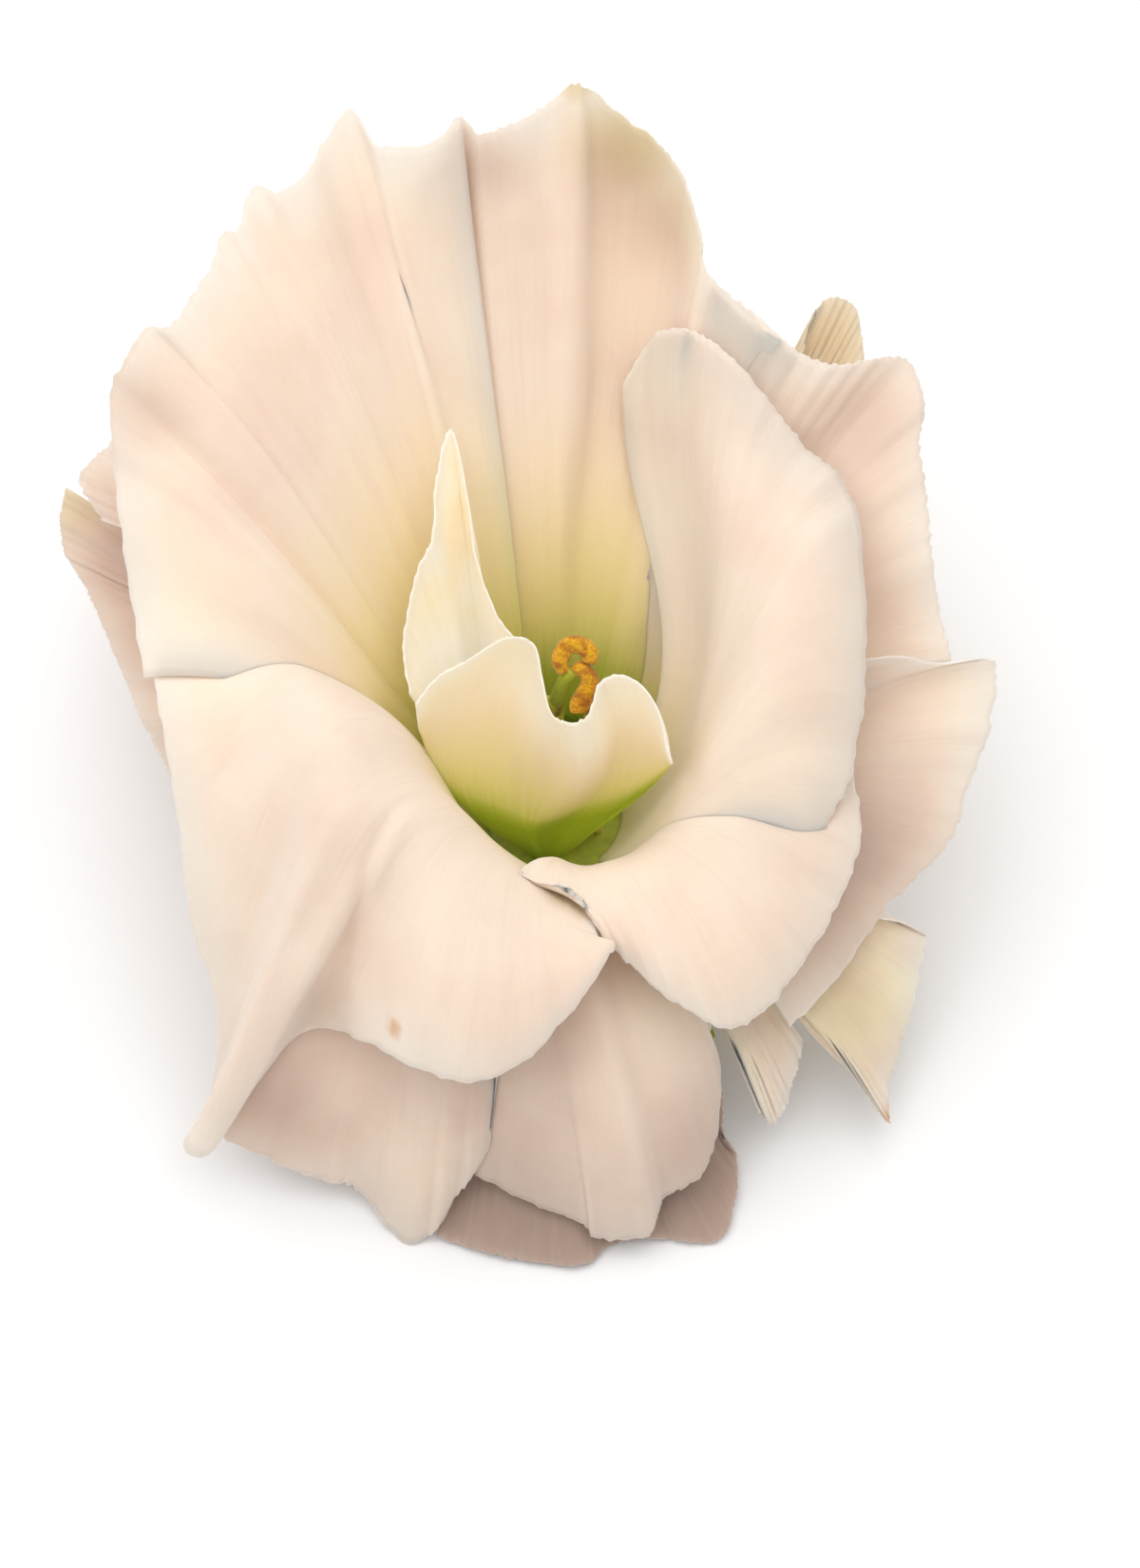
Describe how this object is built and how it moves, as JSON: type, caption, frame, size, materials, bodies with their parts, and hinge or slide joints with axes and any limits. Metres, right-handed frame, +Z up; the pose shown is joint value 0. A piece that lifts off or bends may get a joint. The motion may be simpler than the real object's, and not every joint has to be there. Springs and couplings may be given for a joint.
{
  "type": "lisianthus flower",
  "caption": "Double lisianthus bloom in warm cream with a green throat, picked with a short stub of stem and laid face up.",
  "frame": {"origin": "middle of the bounding box in X and Y, at the height of the surface that the bloom rests on", "axes": "+Z up, along the bloom's axis, out of its throat; -Y towards the side that the picture is taken from; +Y towards the tall back petals"},
  "size_m": [0.0618, 0.0658, 0.0397],
  "materials": {
    "petal_cream": "matt, faintly translucent cream petal, green towards the throat",
    "petal_blush": "matt, faintly translucent cream petal with a blush of pink",
    "petal_greenish": "matt cream petal, greenish, with a brown tip",
    "calyx_green": "satin green sepals and cup",
    "stem_green": "satin green stem with a pale cut end",
    "ovary_green": "satin yellow-green",
    "stigma_orange": "velvety orange-yellow",
    "stamen_yellow": "pale green filament with a dusty yellow anther"
  },
  "bodies": {
    "root": {"petal_back": "petal_cream", "petal_back_left": "petal_cream", "petal_left": "petal_cream", "petal_front_right": "petal_cream", "petal_right": "petal_cream", "inner_petal_tall": "petal_cream", "inner_petal_front": "petal_cream", "outer_petal_back_right": "petal_blush", "outer_petal_right": "petal_blush", "outer_petal_front": "petal_blush", "outer_petal_underneath": "petal_blush", "outer_petal_front_left": "petal_blush", "outer_petal_left": "petal_blush", "outer_petal_back_left": "petal_blush", "outer_petal_back": "petal_blush", "outer_petal_pointed": "petal_greenish", "outer_petal_narrow": "petal_greenish", "outer_petal_top_right": "petal_greenish", "calyx": "calyx_green", "stem_stub": "stem_green", "ovary_and_style": "ovary_green", "stigma": "stigma_orange", "stamen_1": "stamen_yellow", "stamen_2": "stamen_yellow", "stamen_3": "stamen_yellow", "stamen_4": "stamen_yellow", "stamen_5": "stamen_yellow"}
  },
  "joints": []
}
